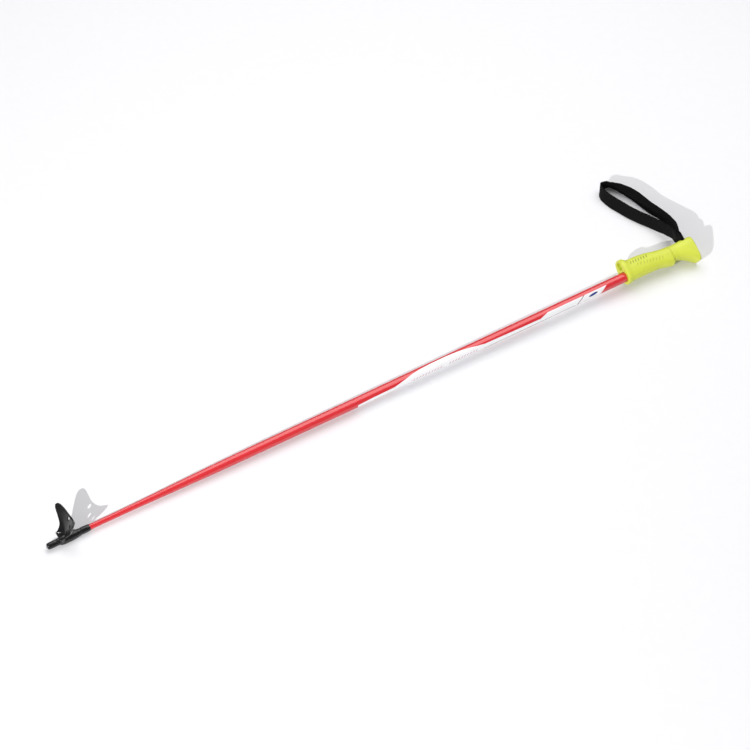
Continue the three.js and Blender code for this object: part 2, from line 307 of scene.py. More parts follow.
class Nodes:
    """A material under construction: short calls that add and join nodes."""

    def __init__(self, name):
        self.material = bpy.data.materials.new(name)
        self.material.use_nodes = True
        self.tree = self.material.node_tree
        self.shader = self.tree.nodes["Principled BSDF"]

    def add(self, kind, **settings):
        node = self.tree.nodes.new(kind)
        for key, value in settings.items():
            setattr(node, key, value)
        return node

    def join(self, value, socket):
        if isinstance(value, bpy.types.NodeSocket):
            self.tree.links.new(value, socket)
        else:
            socket.default_value = value

    def math(self, operation, a, b=0.0, clamp=False):
        node = self.add("ShaderNodeMath", operation=operation, use_clamp=clamp)
        self.join(a, node.inputs[0])
        self.join(b, node.inputs[1])
        return node.outputs[0]

    def between(self, value, low, high, soft):
        """1 inside the band from low to high, with soft edges."""
        rise = self.step(value, low, soft)
        fall = self.step(value, high, soft)
        return self.math("SUBTRACT", rise, fall, clamp=True)

    def step(self, value, edge, soft):
        """0 below the edge and 1 above it, with a soft change; the edge may itself be a node's output."""
        node = self.add("ShaderNodeMapRange", interpolation_type="SMOOTHSTEP")
        self.join(value, node.inputs["Value"])
        if isinstance(edge, bpy.types.NodeSocket):
            self.join(self.math("SUBTRACT", edge, soft), node.inputs["From Min"])
            self.join(self.math("ADD", edge, soft), node.inputs["From Max"])
        else:
            node.inputs["From Min"].default_value = edge - soft
            node.inputs["From Max"].default_value = edge + soft
        return node.outputs[0]

    def mix(self, factor, a, b):
        node = self.add("ShaderNodeMix", data_type="RGBA")
        self.join(factor, node.inputs[0])
        self.join(a, node.inputs[6])
        self.join(b, node.inputs[7])
        return node.outputs[2]

    def attribute(self, name):
        return self.add("ShaderNodeAttribute", attribute_name=name).outputs["Vector"]

    def parts(self, vector):
        node = self.add("ShaderNodeSeparateXYZ")
        self.join(vector, node.inputs[0])
        return node.outputs

    def vector(self, x, y, z):
        node = self.add("ShaderNodeCombineXYZ")
        for value, socket in zip((x, y, z), node.inputs):
            self.join(value, socket)
        return node.outputs[0]

    def noise(self, vector, scale, detail=3.0, roughness=0.5):
        node = self.add("ShaderNodeTexNoise")
        self.join(vector, node.inputs["Vector"])
        node.inputs["Scale"].default_value = scale
        node.inputs["Detail"].default_value = detail
        node.inputs["Roughness"].default_value = roughness
        return node.outputs["Fac"]

    def ramp(self, value, stops):
        node = self.add("ShaderNodeValToRGB")
        elements = node.color_ramp.elements
        while len(elements) < len(stops):
            elements.new(0.5)
        for element, (position, color) in zip(elements, stops):
            element.position = position
            element.color = color
        self.join(value, node.inputs[0])
        return node.outputs[0]

    def bump(self, height, distance, strength):
        node = self.add("ShaderNodeBump")
        node.inputs["Strength"].default_value = strength
        node.inputs["Distance"].default_value = distance
        self.join(height, node.inputs["Height"])
        return node.outputs[0]

    def below(self, value, edge, soft):
        """1 below the edge and 0 above it."""
        return self.math("SUBTRACT", 1.0, self.step(value, edge, soft), clamp=True)

    def put(self, **inputs):
        """Sets or joins the shader's inputs by name."""
        for key, value in inputs.items():
            self.join(value, self.shader.inputs[key.replace("_", " ")])


def grey(value):
    return (value, value, value, 1.0)


def paint(piece, material):
    piece.data.materials.clear()
    piece.data.materials.append(material)


# ---- materials ----
WHITE = (0.86, 0.86, 0.87, 1)
LACQUER_RED = (0.66, 0.027, 0.035, 1)
LACQUER_DEEP_RED = (0.58, 0.021, 0.028, 1)
MARK_BLUE = (0.014, 0.03, 0.22, 1)

# upper edge of the printed white band, [x, height on the tube from -1 at the front to 1 at the rear]
BAND_TOP = [[494, -0.72], [520, -0.6], [556, -0.55], [576, -0.1], [590, 0.3], [606, 0.52], [622, 0.62],
             [650, 0.64], [668, 0.52], [684, 0.3], [700, -0.06], [714, -0.33], [747, -0.4], [779, -0.47],
             [812, -0.52]]
PANEL_START = 827.4
PANEL_START_SLANT = 26
PANEL_END = 936
PANEL_TOP = 0.02
PANEL_TAIL = 13.2
PRINT_SLANT = 14
KEYLINE_HEIGHT = (-0.985, -0.94)
KEYLINE_RUN = (712, 876)
KEYLINE_COLOR = (0.12, 0.02, 0.03, 1)
DIVIDER_RUN = (893, 895)
DIVIDER_LOW = -0.98
DIVIDER_COLOR = (0.16, 0.05, 0.035, 1)
SPOT_X = 917
SPOT_HEIGHT = -0.52
SPOT_HALF_LENGTH = 7.5
SPOT_HALF_HEIGHT = 0.22
DASH_PITCH = 5.2
DASH_SHARE = (0.2, 0.62)
DASH_HEIGHT = (-0.86, -0.64)
DASH_RUNS = ((585, 640), (650, 700))
DASH_COLOR = (0.62, 0.36, 0.4, 1)
PRINT_SOFT = 0.25
HEIGHT_SOFT = 0.03


def lacquer_material():
    n = Nodes("red_lacquer")
    x, y, z = n.parts(n.attribute("place"))[:3]
    radius = n.math("SQRT", n.math("ADD", n.math("MULTIPLY", y, y), n.math("MULTIPLY", z, z)))
    height = n.math("DIVIDE", z, radius)
    span = BAND_TOP[-1][0] - BAND_TOP[0][0]
    along = n.math("DIVIDE", n.math("SUBTRACT", x, BAND_TOP[0][0]), span, clamp=True)
    stops = [((bx - BAND_TOP[0][0]) / span, grey((top + 1) / 2)) for bx, top in BAND_TOP]
    top = n.math("SUBTRACT", n.math("MULTIPLY", n.ramp(along, stops), 2.0), 1.0)
    slanted = n.math("ADD", x, n.math("MULTIPLY", height, -PRINT_SLANT))

    in_band = n.between(x, BAND_TOP[0][0], BAND_TOP[-1][0], PRINT_SOFT)
    band = n.math("MULTIPLY", in_band, n.below(height, top, HEIGHT_SOFT))
    # the panel's far end runs out in a point at its upper edge
    tail = n.math("SUBTRACT", x, n.math("MULTIPLY", n.math("SUBTRACT", height, PANEL_TOP), PANEL_TAIL))
    start = n.math("SUBTRACT", x, n.math("MULTIPLY", height, PANEL_START_SLANT))
    panel_long = n.math("MULTIPLY", n.step(start, PANEL_START, PRINT_SOFT),
                        n.below(tail, PANEL_END, PRINT_SOFT))
    panel = n.math("MULTIPLY", panel_long, n.below(height, PANEL_TOP, HEIGHT_SOFT))
    white = n.math("MAXIMUM", band, panel)

    keyline = n.math("MULTIPLY", n.between(height, *KEYLINE_HEIGHT, 0.006), n.between(x, *KEYLINE_RUN, 0.4))
    divider = n.math("MULTIPLY", n.between(slanted, *DIVIDER_RUN, 0.2),
                     n.between(height, DIVIDER_LOW, PANEL_TOP, HEIGHT_SOFT))
    spot_x = n.math("DIVIDE", n.math("SUBTRACT", slanted, SPOT_X), SPOT_HALF_LENGTH)
    spot_h = n.math("DIVIDE", n.math("SUBTRACT", height, SPOT_HEIGHT), SPOT_HALF_HEIGHT)
    from_spot = n.math("ADD", n.math("MULTIPLY", spot_x, spot_x), n.math("MULTIPLY", spot_h, spot_h))
    spot = n.below(from_spot, 1.0, 0.12)

    # short slanted dashes stand for the small print on the white field
    dash_phase = n.math("FRACT", n.math("DIVIDE", slanted, DASH_PITCH))
    dash = n.math("MULTIPLY", n.between(dash_phase, *DASH_SHARE, 0.08), n.between(height, *DASH_HEIGHT, 0.04))
    dash_zone = n.math("MAXIMUM", *(n.between(x, *run, 0.4) for run in DASH_RUNS))
    dashes = n.math("MULTIPLY", dash, dash_zone)

    place = n.attribute("place")
    cloud = n.noise(place, 0.02, 2.0)
    red = n.mix(cloud, LACQUER_RED, LACQUER_DEEP_RED)
    color = n.mix(white, red, WHITE)
    color = n.mix(dashes, color, DASH_COLOR)
    color = n.mix(n.math("MULTIPLY", keyline, 0.85), color, KEYLINE_COLOR)
    color = n.mix(divider, color, DIVIDER_COLOR)
    color = n.mix(spot, color, MARK_BLUE)

    # fine hairline scratches along the tube, and a slight orange-peel
    stretched = n.vector(n.math("MULTIPLY", x, 0.05), n.math("MULTIPLY", y, 1.6), n.math("MULTIPLY", z, 1.6))
    scratch = n.step(n.noise(stretched, 1.0, 4.0, 0.7), 0.66, 0.05)
    peel = n.noise(place, 0.9, 2.0)
    rough = n.math("ADD", 0.2, n.math("MULTIPLY", scratch, 0.12))
    n.put(Base_Color=color, Roughness=rough, Metallic=0.0, Coat_Weight=0.7, Coat_Roughness=0.08, IOR=1.5,
          Normal=n.bump(n.math("ADD", peel, n.math("MULTIPLY", scratch, 0.4)), 0.00002, 0.5))
    return n.material


def grip_material():
    n = Nodes("lime_moulded_grip")
    place = n.attribute("place")
    cloud = n.noise(place, 0.035, 3.0)
    speck = n.noise(place, 2.4, 3.0, 0.6)
    color = n.mix(cloud, (0.58, 0.635, 0.056, 1), (0.645, 0.7, 0.067, 1))
    wear = n.step(n.noise(place, 0.16, 5.0, 0.65), 0.64, 0.08)
    color = n.mix(n.math("MULTIPLY", wear, 0.25), color, (0.58, 0.7, 0.07, 1))
    # painted shade: the moulded ticks are darkened in colour, standing in for the shadow that falls in these
    # small recesses
    tick = n.add("ShaderNodeAttribute", attribute_name="tick").outputs["Fac"]
    color = n.mix(n.math("MULTIPLY", tick, 0.75), color, (0.2, 0.24, 0.03, 1))
    rough = n.math("ADD", 0.4, n.math("MULTIPLY", speck, 0.14))
    n.put(Base_Color=color, Roughness=rough, Subsurface_Weight=0.08, Subsurface_Radius=(0.004, 0.004, 0.001),
          Subsurface_Scale=0.6, Normal=n.bump(speck, 0.00008, 0.35))
    return n.material


def black_plastic_material():
    n = Nodes("black_moulded_plastic")
    place = n.attribute("place")
    speck = n.noise(place, 3.0, 3.0, 0.6)
    cloud = n.noise(place, 0.2, 4.0, 0.6)
    scuff = n.step(cloud, 0.6, 0.1)
    color = n.mix(n.math("MULTIPLY", scuff, 0.4), (0.0045, 0.0045, 0.005, 1), (0.013, 0.013, 0.014, 1))
    rough = n.math("ADD", 0.12, n.math("MULTIPLY", cloud, 0.16))
    n.put(Base_Color=color, Roughness=rough, Normal=n.bump(speck, 0.00004, 0.35))
    return n.material


def steel_material():
    n = Nodes("ground_steel")
    x, y, z = n.parts(n.attribute("place"))[:3]
    squeezed = n.vector(n.math("MULTIPLY", x, 9.0), n.math("MULTIPLY", y, 0.4), n.math("MULTIPLY", z, 0.4))
    rings = n.noise(squeezed, 1.0, 4.0)
    color = n.mix(rings, (0.34, 0.34, 0.35, 1), (0.56, 0.56, 0.57, 1))
    n.put(Base_Color=color, Metallic=1.0, Roughness=n.math("ADD", 0.24, n.math("MULTIPLY", rings, 0.16)),
          Normal=n.bump(rings, 0.00003, 0.4))
    return n.material


# width of one rib and length of one stitch of the weave, in millimetres
WEAVE_RIB = 1.05
WEAVE_STEP = 0.8


def webbing_material():
    """Plain black ribbed webbing, from each vertex's place along and across the strap in millimetres."""
    n = Nodes("black_webbing")
    along, across, side = n.parts(n.attribute("web"))[:3]
    column = n.math("DIVIDE", across, WEAVE_RIB)
    shift = n.math("MULTIPLY", n.math("FLOOR", column), 0.5)
    row = n.math("ADD", n.math("DIVIDE", along, WEAVE_STEP), shift)
    rib = n.math("ABSOLUTE", n.math("SINE", n.math("MULTIPLY", column, math.pi)))
    float_over = n.math("ABSOLUTE", n.math("SINE", n.math("MULTIPLY", row, math.pi)))
    weave = n.math("MULTIPLY", rib, n.math("ADD", 0.45, n.math("MULTIPLY", float_over, 0.55)))
    threads = n.vector(n.math("MULTIPLY", along, 0.9), n.math("MULTIPLY", across, 7.0), side)
    fibre = n.noise(threads, 1.0, 3.0, 0.7)
    patches = n.vector(n.math("MULTIPLY", along, 0.05), n.math("MULTIPLY", across, 0.2), side)
    cloud = n.noise(patches, 1.0, 2.0)
    tone = n.math("ADD", n.math("MULTIPLY", weave, 0.7), n.math("MULTIPLY", fibre, 0.3), clamp=True)
    color = n.mix(tone, (0.0012, 0.0012, 0.0014, 1), (0.0056, 0.0054, 0.006, 1))
    color = n.mix(n.math("MULTIPLY", n.step(cloud, 0.55, 0.2), 0.3), color, (0.0066, 0.0064, 0.007, 1))
    height = n.math("ADD", weave, n.math("MULTIPLY", fibre, 0.35))
    n.put(Base_Color=color, Roughness=0.8, Specular_IOR_Level=0.1, Normal=n.bump(height, 0.00022, 0.8))
    return n.material


def floor_material():
    n = Nodes("studio_floor")
    grain = n.noise(n.add("ShaderNodeTexCoord").outputs["Object"], 60.0, 3.0)
    n.put(Base_Color=n.mix(grain, (0.80, 0.797, 0.815, 1), (0.82, 0.817, 0.833, 1)), Roughness=0.85,
          Normal=n.bump(grain, 0.0002, 0.08))
    return n.material


LACQUER = lacquer_material()
LIME = grip_material()
BLACK = black_plastic_material()
STEEL = steel_material()
WEBBING = webbing_material()


def finish_piece(piece, material, slot_name, body, *nodes):
    store_pole_place(piece)
    paint(piece, material)
    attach(piece, body)
    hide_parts(*nodes)


# ---- shaft: swaged lower end, taper, parallel tube ----
SHAFT_RADIUS = 8
SHAFT_WALL = 1
SHAFT_PROFILE = [[26, 4.1], [110, 4.3], [155, 4.85], [200, 5.75], [245, 6.55], [295, 7.1], [360, 7.35],
                 [480, 7.7], [620, 8], [1060, 8]]
SHAFT_RINGS = 150
BORE_RING_STRIDE = 6


def make_shaft():
    points = smooth_curve([(x, r, 0) for x, r in SHAFT_PROFILE], SHAFT_RINGS)[0]
    outer = [[p.x, min(p.y, SHAFT_RADIUS)] for p in points]
    inner = [[x, r - SHAFT_WALL] for x, r in reversed(outer)][::BORE_RING_STRIDE]
    inner.append([outer[0][0], outer[0][1] - SHAFT_WALL])
    shaft = turned("shaft_lacquered_tube", outer + inner, 96)
    finish_piece(shaft, LACQUER, "shaft", "pole", "shaft_tube")


# ---- tip: moulded sleeve and steel stud ----
FERRULE_RADIUS = 5.3
INSERT_RADIUS = 1.8
SLIP_GAP = 0.3


def make_tip():
    bore = SHAFT_PROFILE[0][1] + SLIP_GAP
    outer = rounded([[1.5, 2.1], [1.5, 3.7], [2.6, 4.6], [6, 5.0], [14, 5.1], [15, 4.85], [16.2, 4.85],
                     [17.2, 5.15], [20, FERRULE_RADIUS], [50, FERRULE_RADIUS], [51, 5.05], [52.4, 5.05],
                     [53.4, FERRULE_RADIUS], [62, FERRULE_RADIUS], [66, 4.75], [66, bore]], 0.7)
    profile = [[15, 0], [15, 2.1]] + outer + [[25, bore], [25, 0]]
    finish_piece(turned("ferrule_sleeve", profile, 96, 30), BLACK, "black_plastic", "pole", "ferrule")
    stud = rounded([[0, 0], [0, 1.3], [0.7, INSERT_RADIUS], [14.7, INSERT_RADIUS], [14.7, 0]], 0.3)
    finish_piece(turned("tip_stud", stud, 64, 30), STEEL, "steel", "pole", "tip_insert")


# ---- basket: hub ring and fan-shaped paw ----
HUB_START = 20
HUB_END = 47
HUB_RADIUS = 7.35
HUB_RIM_RADIUS = 6.5
HUB_BORE_GAP = 0.2
PAW_X = 26
PAW_RISE = 0.624
PAW_ARCH = 0.0148
PAW_WRAP = 0.09
PAW_WRAP_START = 8
PAW_WRAP_REACH = 2.6
BASKET_TURN = math.radians(46.3)
PAW_THICKNESS = 2.4
PAW_EDGE = [[0, 7.2], [4, 8.8], [8, 10.6], [13, 14.4], [17, 17.8], [20.5, 21], [24.5, 24], [30, 27.8],
            [35.4, 30.4], [38.4, 30.9], [39.8, 29.6], [39, 26.4], [36.4, 21.4], [33.6, 16], [31.3, 10.6],
            [30, 5], [29.6, 0]]
PAW_HOLES = [[26.3, -4.7], [21.2, 6], [23, 18]]
PAW_HOLE_RADIUS = 2.3
PAW_HOLE_SIDES = 32
PAW_OUTLINE_POINTS = 80
# grid lines every millimetre, this far each way, about the plate's middle
PAW_GRID_REACH = 31
PAW_GRID_MIDDLE = 14
PAW_VOXEL = 0.00042


def paw_turn():
    """The paw's outward direction across the pole's frame, and the direction along its width."""
    out = Vector((0, -math.sin(BASKET_TURN), math.cos(BASKET_TURN)))
    return out, Vector((1, 0, 0)).cross(out)


def paw_point(u, w, t, out, side):
    """A point of the paw: u outwards, w across, t through its thickness; the arch tightens at the hub."""
    wrap = math.exp((PAW_WRAP_START - max(u, PAW_WRAP_START)) / PAW_WRAP_REACH)
    arch = PAW_ARCH + PAW_WRAP * wrap
    x = PAW_X + PAW_RISE * u - arch * w * w + t * (1 + 0.5 * wrap)
    p = out * u + side * w
    return world(x, p.y, p.z)


def paw_outline():
    half = smooth_curve([(u, w, 0) for u, w in PAW_EDGE], PAW_OUTLINE_POINTS)[0]
    mirrored = [Vector((p.x, -p.y, 0)) for p in reversed(half[:-1])]
    return half + mirrored


def flat_plate(outline, holes, thickness):
    """A flat plate from an outline with round holes, cut into a fine grid so that it can be bent."""
    curve = bpy.data.curves.new("plate", "CURVE")
    curve.dimensions = "2D"
    curve.fill_mode = "BOTH"
    curve.extrude = thickness / 2
    loops = [[(p[0], p[1]) for p in outline]]
    angles = [2 * math.pi * k / PAW_HOLE_SIDES for k in range(PAW_HOLE_SIDES)]
    for u, w in holes:
        loops.append([(u + PAW_HOLE_RADIUS * math.cos(a), w + PAW_HOLE_RADIUS * math.sin(a)) for a in angles])
    for loop in loops:
        spline = curve.splines.new("POLY")
        spline.points.add(len(loop) - 1)
        for point, (u, w) in zip(spline.points, loop):
            point.co = (u, w, 0, 1)
        spline.use_cyclic_u = True
    holder = bpy.data.objects.new("plate", curve)
    bpy.context.collection.objects.link(holder)
    mesh = bpy.data.meshes.new_from_object(holder.evaluated_get(bpy.context.evaluated_depsgraph_get()))
    bpy.data.objects.remove(holder)
    work = bmesh.new()
    work.from_mesh(mesh)
    bmesh.ops.remove_doubles(work, verts=work.verts, dist=1e-4)
    for line in range(-PAW_GRID_REACH, PAW_GRID_REACH + 1):
        for place, normal in (((0, line, 0), (0, 1, 0)), ((line + PAW_GRID_MIDDLE, 0, 0), (1, 0, 0))):
            geometry = work.verts[:] + work.edges[:] + work.faces[:]
            bmesh.ops.bisect_plane(work, geom=geometry, plane_co=place, plane_no=normal)
    return work


def make_basket():
    out, side = paw_turn()
    work = flat_plate(paw_outline(), PAW_HOLES, PAW_THICKNESS)
    for vertex in work.verts:
        u, w, t = vertex.co
        vertex.co = paw_point(u, w, t + PAW_THICKNESS / 2, out, side)
    mesh = bpy.data.meshes.new("basket")
    work.to_mesh(mesh)
    work.free()
    basket = bpy.data.objects.new("basket_paw", mesh)
    bpy.context.collection.objects.link(basket)
    hub = turned("hub", rounded([[HUB_START, 0], [HUB_START, HUB_RIM_RADIUS], [HUB_START + 6, HUB_RADIUS],
                                 [HUB_START + 18, HUB_RADIUS], [HUB_END - 1, HUB_RIM_RADIUS], [HUB_END, 6.2],
                                 [HUB_END, 0]], 1.2), 64)
    parts = [basket, hub]
    with bpy.context.temp_override(active_object=basket, object=basket, selected_objects=parts,
                                   selected_editable_objects=parts):
        bpy.ops.object.join()
    remesh = basket.modifiers.new("remesh", "REMESH")
    remesh.mode = "VOXEL"
    remesh.voxel_size = PAW_VOXEL
    smooth = basket.modifiers.new("smooth", "SMOOTH")
    smooth.factor = 0.5
    smooth.iterations = 5
    apply_modifiers(basket)
    bore = FERRULE_RADIUS + HUB_BORE_GAP
    cut(basket, turned("bore", [[0, 0], [0, bore], [80, bore], [80, 0]], 96))
    tidy_normals(basket, 50)
    finish_piece(basket, BLACK, "black_plastic", "pole", "basket")


# ---- grip ----
# [x from the flange, rear, front, half width, squareness] of the grip's sections, each a superellipse
GRIP_OUTLINE = [[0, 26.4, 11.8, 14.2, 2.5], [1.2, 27.5, 12.6, 14.9, 2.5], [5, 27.4, 12.5, 14.9, 2.5],
                [8, 25.6, 11.8, 14.4, 2.5], [12.5, 22.8, 11.2, 14, 2.5], [25, 22.4, 10.9, 13.8, 2.5],
                [44, 20.8, 10.9, 13.6, 2.5], [60.5, 17.6, 11.4, 13.4, 2.5], [74.5, 15.4, 14.4, 13.8, 2.6],
                [83, 14.9, 16, 13.9, 2.6], [86, 14.6, 11.8, 12.8, 2.6], [93.5, 14.2, 11.6, 12.8, 2.7],
                [102.5, 14.2, 13.6, 14.2, 2.9], [111.5, 14.7, 18, 15.2, 3.2], [119, 14.8, 23.4, 15.6, 3.6],
                [124.6, 14.6, 27, 15.6, 3.8], [126.5, 14.1, 27, 15.1, 3.8], [127, 13.4, 26.3, 14.6, 3.8]]
GRIP_AROUND = 208
GRIP_RING_STEP = 0.5
GRIP_FINE_STEP = 0.3
GRIP_BORE_END = 1063.2
GRIP_BORE_GAP = 0.12
POCKET_RINGS = 25
POCKET_FLARE_RUN = 1.6
POCKET_DEPTH = 7.5
POCKET_MIDDLE = 17.5
POCKET_HALF_WIDTH = 5.9
POCKET_HALF_HEIGHT = 5.6
SLOT_X = 1087
SLOT_HALF = 4.8
SLOT_WIDTH = 23.4
SLOT_TOP = 22
SLOT_BELOW_PIN = 5.2
SLOT_CORNER = 1.2
SLOT_RINGS = 24
# the slot's mouth widens from this height, measured from the shaft's axis
SLOT_FLARE_START = 12.6
SLOT_FLARE_TOP = 16
SLOT_FLARE_RUN = 2.4
SLOT_FLARE = 1.1
PIN_Z = 2.5
WEDGE_START = 1092.2
WEDGE_Z = 7
WEDGE_LOWER = 0.1
WEDGE_RINGS = 30
WEDGE_HALF_WIDTH = 7.3
WEDGE_HALF_DEPTH = 2.4
WEDGE_TAPER = 0.7
WEDGE_POCKET_HALF_WIDTH = 7.7
WEDGE_POCKET_HALF_DEPTH = 3.5


def grip_size(x):
    """Rear, front, half width and squareness at x from the flange, on a smooth curve through the outline."""
    n = len(GRIP_OUTLINE)
    i = max(k for k in range(n - 1) if GRIP_OUTLINE[k][0] <= x or k == 0)
    rows = [GRIP_OUTLINE[min(max(i + k, 0), n - 1)] for k in (-1, 0, 1, 2)]
    width = rows[2][0] - rows[1][0]
    t = min(max((x - rows[1][0]) / width, 0), 1)
    out = []
    for c in (1, 2, 3, 4):
        slopes = []
        for a, b, d in ((rows[0], rows[1], rows[2]), (rows[1], rows[2], rows[3])):
            left = (b[c] - a[c]) / max(b[0] - a[0], 1e-6)
            right = (d[c] - b[c]) / max(d[0] - b[0], 1e-6)
            slopes.append(0 if left * right <= 0 else 2 * left * right / (left + right))
        m0, m1 = slopes[0] * width, slopes[1] * width
        p0, p1 = rows[1][c], rows[2][c]
        out.append((2 * t ** 3 - 3 * t ** 2 + 1) * p0 + (t ** 3 - 2 * t ** 2 + t) * m0
                   + (3 * t ** 2 - 2 * t ** 3) * p1 + (t ** 3 - t ** 2) * m1)
    return out


# two rows of small moulded anti-slip ticks on each side of the grip: [x, z] of each tick's middle, and depth
TICK_ROWS = [[(15 + 4.8 * k, 15.2 - 0.1 * k, 1.0) for k in range(7)],
             [(24 + 5.4 * k, 8.4 - 0.84 * k, 0.4) for k in range(9)]]
TICK_DEPTH = 0.9
TICK_HALF_LENGTH = 2.5
TICK_HALF_WIDTH = 1.05
TICK_SLANT = 0.35
TICK_SIDE = 6
# the stretch of the grip, from its flange, that carries relief
RELIEF_START = 10
RELIEF_END = 79
RING_MARK = (30, -4.5)
RING_MARK_RADIUS = 1.3
RING_MARK_WIDTH = 0.4
RING_MARK_DEPTH = 0.45


def tick_share(x, z):
    """How far inside a moulded tick a point of the grip's side is, from 0 to 1."""
    share = 0.0
    for row in TICK_ROWS:
        for tick_x, tick_z, depth in row:
            dz = z - tick_z
            dx = x - tick_x - TICK_SLANT * dz
            if abs(dx) < 2.6 and abs(dz) < 5:
                fade = math.exp(-(dx / TICK_HALF_WIDTH) ** 4) * math.exp(-(dz / TICK_HALF_LENGTH) ** 6)
                share += depth * fade
    return min(share, 1.0)


def grip_relief(x, z):
    """Height of the moulded ticks and the ring mark, measured from the smooth body."""
    relief = -TICK_DEPTH * tick_share(x, z)
    away = math.hypot(x - RING_MARK[0], z - RING_MARK[1])
    if away < 3:
        relief -= RING_MARK_DEPTH * math.exp(-((away - RING_MARK_RADIUS) / RING_MARK_WIDTH) ** 2)
    return relief


def grip_rings():
    rings = []
    x = 0.0
    length = GRIP_OUTLINE[-1][0]
    places = []
    while x < length:
        places.append(x)
        x += GRIP_FINE_STEP if x < 2.4 or x > length - 6 else GRIP_RING_STEP
    for x in places + [length]:
        rear, front, half, power = grip_size(x)
        ring = []
        middle = (rear - front) / 2
        depth = (rear + front) / 2
        for y, from_middle in squarish(half, depth, 2 / power, GRIP_AROUND):
            z = middle + from_middle
            lift = grip_relief(x, z) if RELIEF_START < x < RELIEF_END else 0.0
            if lift:
                away = Vector((0, y / half ** 2, (z - middle) / depth ** 2)).normalized()
                y += away.y * lift
                z += away.z * lift
            ring.append(world(GRIP_START + x, y, z))
        rings.append(ring)
    return rings


def rounded_box(name, x0, x1, center_z, half_y, half_z, flare_start=0.0, flare_end=0.0):
    """A blind pocket's cutter along x, with soft corners and a mouth that can open out."""
    rings = []
    for k in range(POCKET_RINGS):
        t = k / (POCKET_RINGS - 1)
        x = x0 + (x1 - x0) * t
        grow = flare_start * max(0, 1 - (x - x0) / POCKET_FLARE_RUN) ** 2
        grow += flare_end * max(0, 1 - (x1 - x) / POCKET_FLARE_RUN) ** 2
        rings.append([world(x, a, center_z + b) for a, b in squarish(half_y + grow, half_z + grow, 0.4, 48)])
    return loft(name, rings)


def slot_cutter():
    """The webbing slot: a rounded rectangle that runs down from the rear of the head."""
    rings = []
    bottom = PIN_Z - SLOT_BELOW_PIN
    for k in range(SLOT_RINGS):
        z = bottom + (SLOT_TOP - bottom) * k / (SLOT_RINGS - 1)
        opening = max(0.0, (min(z, SLOT_FLARE_TOP) - SLOT_FLARE_START) / SLOT_FLARE_RUN)
        grow = SLOT_FLARE * opening ** 2
        section = squarish(SLOT_HALF - SLOT_CORNER + grow, SLOT_WIDTH / 2 + grow, 0.33, 64)
        rings.append([world(SLOT_X + a, b, z) for a, b in section])
    return loft("slot", rings)


def make_grip():
    grip = loft("grip_moulded_body", grip_rings(), smooth_angle=40)
    start, bore = GRIP_START, SHAFT_RADIUS + GRIP_BORE_GAP
    cut(grip, turned("bore", rounded([[start - 2, 0], [start - 2, bore + 1.3], [start + 0.9, bore],
                                      [GRIP_BORE_END, bore], [GRIP_BORE_END, 0]], 0.8), 96))
    cut(grip, rounded_box("pocket", start - 0.4, start + POCKET_DEPTH, POCKET_MIDDLE, POCKET_HALF_WIDTH,
                          POCKET_HALF_HEIGHT, flare_start=0.5))
    cut(grip, slot_cutter())
    cut(grip, rounded_box("wedge_pocket", WEDGE_START - 2.2, POLE_LENGTH + 0.6, WEDGE_Z,
                          WEDGE_POCKET_HALF_WIDTH, WEDGE_POCKET_HALF_DEPTH, flare_end=0.4))
    tidy_normals(grip, 38)
    # each vertex's share of a tick, which the grip's material uses to paint shade into the ticks
    ticks = grip.data.attributes.new("tick", "FLOAT", "POINT")
    places = [local(v.co) for v in grip.data.vertices]
    shares = [tick_share(p.x - start, p.z) if abs(p.y) > TICK_SIDE else 0.0 for p in places]
    ticks.data.foreach_set("value", shares)
    finish_piece(grip, LIME, "grip", "pole", "grip_body")


def make_wedge():
    rings = []
    for k in range(WEDGE_RINGS):
        t = k / (WEDGE_RINGS - 1)
        x = WEDGE_START + (POLE_LENGTH - WEDGE_START) * t
        ease = 1 - 0.12 * math.exp(-(POLE_LENGTH - x) / 0.25) - 0.1 * math.exp(-(x - WEDGE_START) / 0.3)
        half_y, half_z = WEDGE_HALF_WIDTH * ease, (WEDGE_HALF_DEPTH + WEDGE_TAPER * t) * ease
        rings.append([world(x, a, WEDGE_Z - WEDGE_LOWER + b) for a, b in squarish(half_y, half_z, 0.4, 56)])
    wedge = loft("strap_wedge_plug", rings)
    cut(wedge, rounded_box("pry_slot", POLE_LENGTH - 0.9, POLE_LENGTH + 1, WEDGE_Z - WEDGE_LOWER, 3.6, 0.7))
    tidy_normals(wedge, 38)
    finish_piece(wedge, BLACK, "black_plastic", "wedge", "strap_wedge")


# ---- wrist strap: one closed length of webbing, round the pin, out of the slot and round the hand ----
WEBBING_WIDTH = 22
WEBBING_THICKNESS = 1.9
STRAP_STATIONS = 620
WEBBING_COLUMNS = 22
SELVEDGE = 0.9
SELVEDGE_TURNS = (0.6, 1.2, math.pi / 2, 1.94, 2.54)
EDGE_BAND = 1.6
EDGE_THINNING = 0.94
# the part outside the grip, [x, y, z, lean in degrees] on the floor's own axes from under the tip's end, in
# millimetres; the webbing leans from upright towards LEAN_SIDE
TIP_HEIGHT = 6.3
LEAN_SIDE = Vector((0.51, 0.86, 0))
LOOP_ROUTE = [[1090, 21.6, 28.6, -30], [1096, 33, 26.8, -22], [1103, 48.2, 22, -8], [1106.2, 67, 16.8, 3],
              [1105.5, 88.8, 12.8, 10], [1101.5, 110.7, 11, 14], [1097.3, 137.7, 10.9, 14],
              [1092.9, 153.8, 11.1, 8], [1087.7, 166.1, 11.2, -3], [1081.5, 178.4, 10.5, -20],
              [1076.3, 185.1, 10.2, -24], [1066.6, 187.8, 11, -8], [1058.3, 185.8, 11.1, 8],
              [1054.1, 175.6, 10.5, 20], [1055.7, 156.4, 10.1, 26], [1061.3, 137, 10.3, 24],
              [1067.1, 118.5, 10.5, 21], [1074.2, 101.3, 10.8, 19], [1082, 84.9, 11.2, 18],
              [1087.5, 68.8, 13, 14], [1091, 54, 16.2, 6], [1090.6, 38.1, 22, -10], [1085.8, 22.4, 28.4, -28]]
